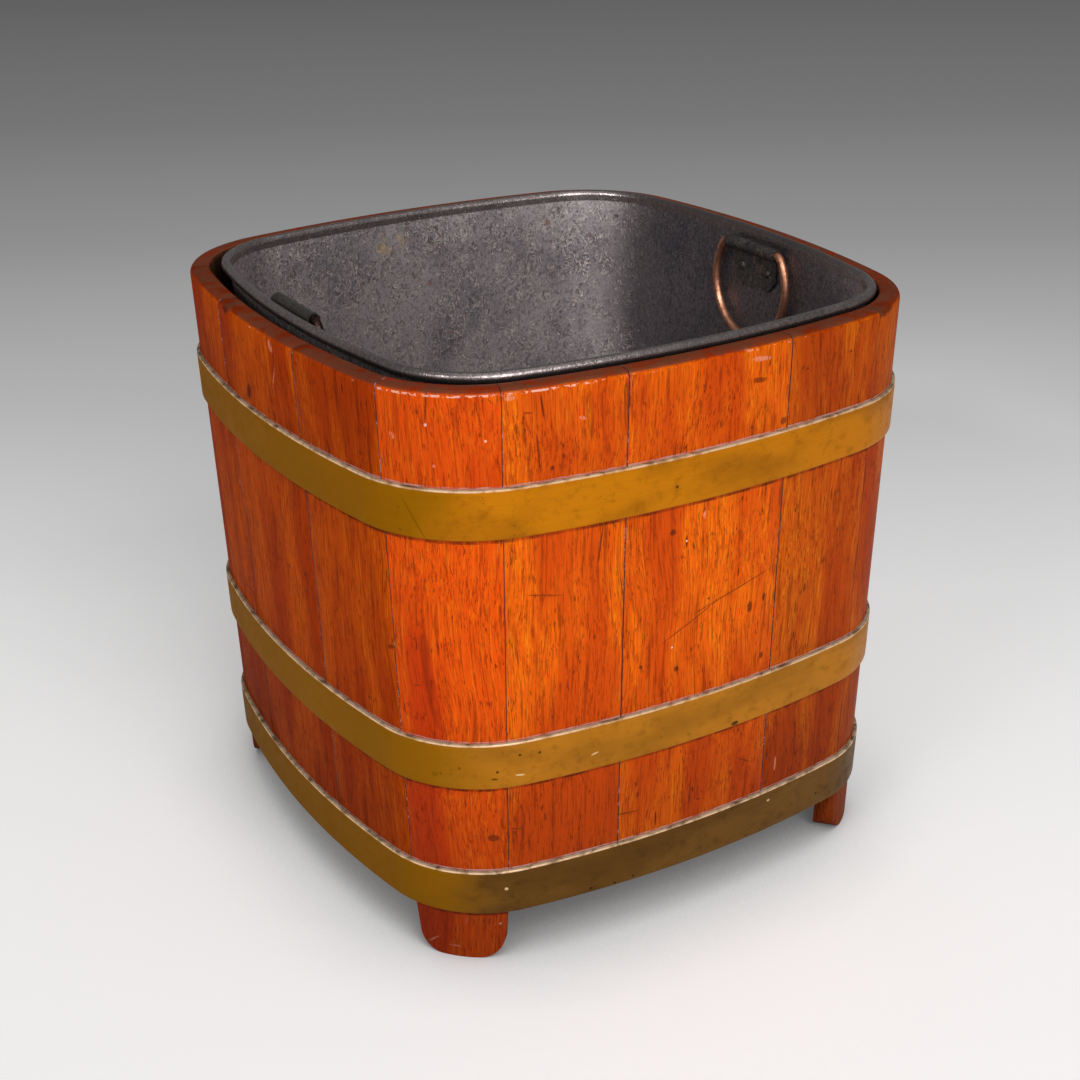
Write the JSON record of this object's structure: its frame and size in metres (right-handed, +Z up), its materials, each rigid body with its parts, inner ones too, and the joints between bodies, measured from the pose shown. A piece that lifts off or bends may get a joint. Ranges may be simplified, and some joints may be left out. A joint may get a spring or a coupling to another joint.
{
  "type": "coal scuttle",
  "caption": "Rounded-square coopered coal bucket on stave feet, bound with flat hoops, with a lift-out sheet metal liner that has a rolled rim and drop ring handles.",
  "frame": {"origin": "on the ground at the centre of the four feet", "axes": "+Z up; the ring handles stand at the +X and -X ends, and -Y is the front wall, the brighter one in the picture"},
  "size_m": [0.4008, 0.4048, 0.3881],
  "materials": {
    "stave_oak": "varnished red-brown hardwood staves, worn at the rim and the feet",
    "base_wood": "plain aged hardwood boards and dowels",
    "hoop_brass": "aged brass strip with brown patina and bright upper edges",
    "liner_iron": "blackened and mottled sheet iron",
    "ring_copper": "polished copper wire, worn bright"
  },
  "bodies": {
    "tub": {"stave_right_back": "stave_oak", "stave_corner_back_right": "stave_oak", "stave_back_right": "stave_oak", "stave_back_middle": "stave_oak", "stave_back_left": "stave_oak", "stave_corner_back_left": "stave_oak", "stave_left_back": "stave_oak", "stave_left_middle": "stave_oak", "stave_left_front": "stave_oak", "stave_corner_front_left": "stave_oak", "stave_front_left": "stave_oak", "stave_front_middle": "stave_oak", "stave_front_right": "stave_oak", "stave_corner_front_right": "stave_oak", "stave_right_front": "stave_oak", "stave_right_middle": "stave_oak", "base_board_1": "base_wood", "base_board_2": "base_wood", "base_board_3": "base_wood", "base_dowel_1": "base_wood", "base_dowel_2": "base_wood", "base_dowel_3": "base_wood", "base_dowel_4": "base_wood", "hoop_top": "hoop_brass", "hoop_middle": "hoop_brass", "hoop_bottom": "hoop_brass"},
    "liner": {"liner_wall": "liner_iron", "liner_bottom": "liner_iron", "rim_wire": "liner_iron", "hinge_leaf_left": "liner_iron", "hinge_leaf_right": "liner_iron", "rivet_left_1": "liner_iron", "rivet_left_2": "liner_iron", "rivet_right_1": "liner_iron", "rivet_right_2": "liner_iron"},
    "ring_handle_left": {"ring_left": "ring_copper"},
    "ring_handle_right": {"ring_right": "ring_copper"}
  },
  "joints": [
    {"name": "liner_lift", "type": "slide", "parent": "tub", "child": "liner", "axis": [0, 0, 1], "range_m": [0, 0.33]},
    {"name": "ring_left_swing", "type": "hinge", "parent": "liner", "child": "ring_handle_left", "pos_m": [-0.16699, 0.0045, 0.3837], "axis": [0, -1, 0], "range_deg": [0, 180]},
    {"name": "ring_right_swing", "type": "hinge", "parent": "liner", "child": "ring_handle_right", "pos_m": [0.17147, -0.0085, 0.3747], "axis": [0, 1, 0], "range_deg": [0, 180]}
  ]
}
